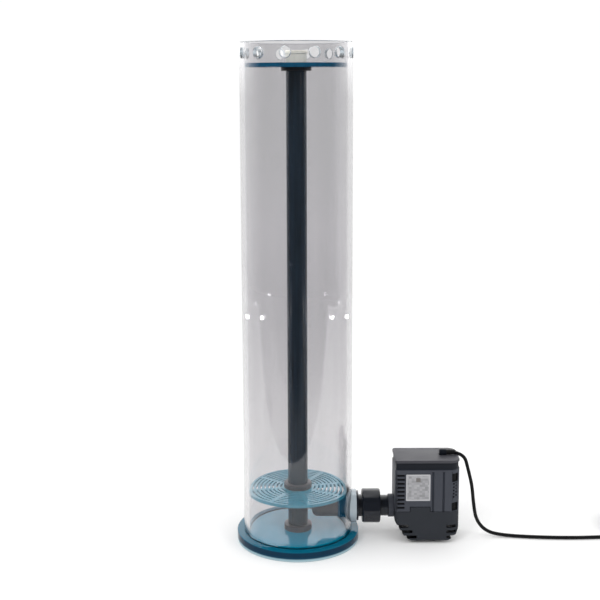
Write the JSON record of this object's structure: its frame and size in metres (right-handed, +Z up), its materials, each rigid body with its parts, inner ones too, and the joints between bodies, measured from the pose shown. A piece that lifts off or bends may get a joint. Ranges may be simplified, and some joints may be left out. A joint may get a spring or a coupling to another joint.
{
  "type": "protein skimmer",
  "caption": "Clear acrylic reactor column on a round blue base, with lift-out slotted plates on a centre pipe, overflow holes at the rim, and a submersible pump on a side union.",
  "frame": {"origin": "centre of the base plate's underside, on the tube's axis", "axes": "+Z up along the tube, +X from the tube to the pump, -Y the side with the pump's rating plate"},
  "size_m": [0.4383, 0.124, 0.5],
  "materials": {
    "clear_acrylic": "clear, polished",
    "blue_acrylic": "translucent blue, polished",
    "grey_pvc": "satin extruded",
    "dark_pvc": "satin",
    "natural_plastic": "milky, semi-gloss",
    "black_plastic": "fine satin",
    "black_rubber": "matt",
    "pump_grey": "fine spark-eroded texture",
    "pump_dark": "fine spark-eroded texture",
    "rating_foil": "satin printed foil, no lettering",
    "ferrite": "matt",
    "ceramic_shaft": "polished",
    "bush_rubber": "matt",
    "core_steel": "laminated",
    "copper": "enamelled wire",
    "board_green": "coated board",
    "stainless": "satin"
  },
  "bodies": {
    "vessel": {"reactor_tube": "clear_acrylic", "inlet_boss": "clear_acrylic", "base_plate": "blue_acrylic", "inlet_socket": "blue_acrylic", "base_collar": "grey_pvc", "inlet_pipe": "grey_pvc", "union_body": "black_plastic", "union_tail": "black_plastic", "cable_gland": "black_plastic", "cable_connector": "black_plastic", "union_seal": "black_rubber", "volute_seal": "black_rubber", "strain_relief": "black_rubber", "pump_feet": "black_rubber", "pump_cable": "black_rubber", "cable_coil": "black_rubber", "motor_housing": "pump_grey", "motor_lid": "pump_grey", "volute_housing": "pump_grey", "strainer_basket": "pump_dark", "volute_cover": "pump_dark", "rating_plate": "rating_foil", "impeller_shaft": "ceramic_shaft", "shaft_bushes": "bush_rubber", "stator_core": "core_steel", "stator_windings": "copper", "driver_board": "board_green", "housing_screws": "stainless"},
    "riser": {"riser_pipe": "grey_pvc", "diffuser_plate": "blue_acrylic", "diffuser_collar": "grey_pvc", "top_collar": "dark_pvc"},
    "lid": {"top_plate": "blue_acrylic", "lift_knob": "natural_plastic", "knob_screw": "black_plastic"},
    "nut": {"union_nut": "black_plastic"},
    "rotor": {"impeller": "pump_dark", "rotor_magnet": "ferrite"}
  },
  "joints": [
    {"name": "riser_lift", "type": "slide", "parent": "vessel", "child": "riser", "axis": [0, 0, 1], "range_m": [0, 0.5]},
    {"name": "lid_lift", "type": "slide", "parent": "riser", "child": "lid", "axis": [0, 0, 1], "range_m": [0, 0.1]},
    {"name": "nut_turn", "type": "hinge", "parent": "vessel", "child": "nut", "pos_m": [0.076, 0, 0.0328], "axis": [1, 0, 0], "continuous": true},
    {"name": "impeller_spin", "type": "hinge", "parent": "vessel", "child": "rotor", "pos_m": [0.13, 0, 0.03], "axis": [0, 0, 1], "continuous": true}
  ]
}
